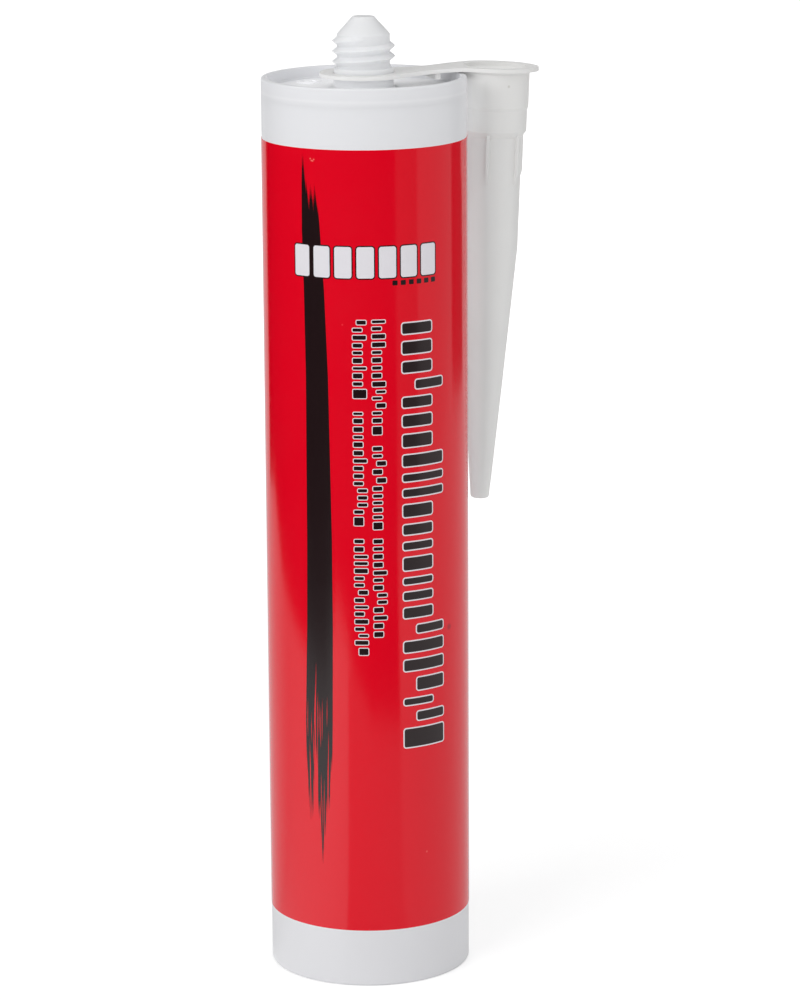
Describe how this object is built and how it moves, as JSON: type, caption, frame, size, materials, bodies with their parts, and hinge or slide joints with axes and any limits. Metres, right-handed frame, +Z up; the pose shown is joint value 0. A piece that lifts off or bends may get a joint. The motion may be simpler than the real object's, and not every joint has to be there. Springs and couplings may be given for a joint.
{
  "type": "caulk tube",
  "caption": "Sealant cartridge standing on its open base, with a piston inside and a tapered nozzle hung by its strap from the threaded outlet.",
  "frame": {"origin": "centre of the open base, on the barrel's axis", "axes": "+Z up along the barrel's axis towards the outlet; +X from the axis towards the hanging nozzle"},
  "size_m": [0.0702, 0.0503, 0.2385],
  "materials": {
    "barrel_plastic": "white polyethylene, satin",
    "nozzle_plastic": "natural polyethylene, slightly see-through, satin",
    "piston_plastic": "natural polyethylene, satin",
    "sealant_paste": "white paste",
    "label_film": "red gloss film",
    "dark_ink": "near-black gloss ink",
    "pale_ink": "white gloss ink"
  },
  "bodies": {
    "barrel": {"barrel": "barrel_plastic", "head": "barrel_plastic", "label": "label_film", "dark_print": "dark_ink", "pale_print": "pale_ink", "sealant": "sealant_paste"},
    "piston": {"piston": "piston_plastic"},
    "nozzle": {"nozzle": "nozzle_plastic"}
  },
  "joints": [
    {"name": "piston_slide", "type": "slide", "parent": "barrel", "child": "piston", "axis": [0, 0, 1], "range_m": [0, 0.18], "deforming": ["sealant"]},
    {"name": "nozzle_swivel", "type": "hinge", "parent": "barrel", "child": "nozzle", "pos_m": [0, 0, 0.2245], "axis": [0, 0, 1], "continuous": true}
  ]
}
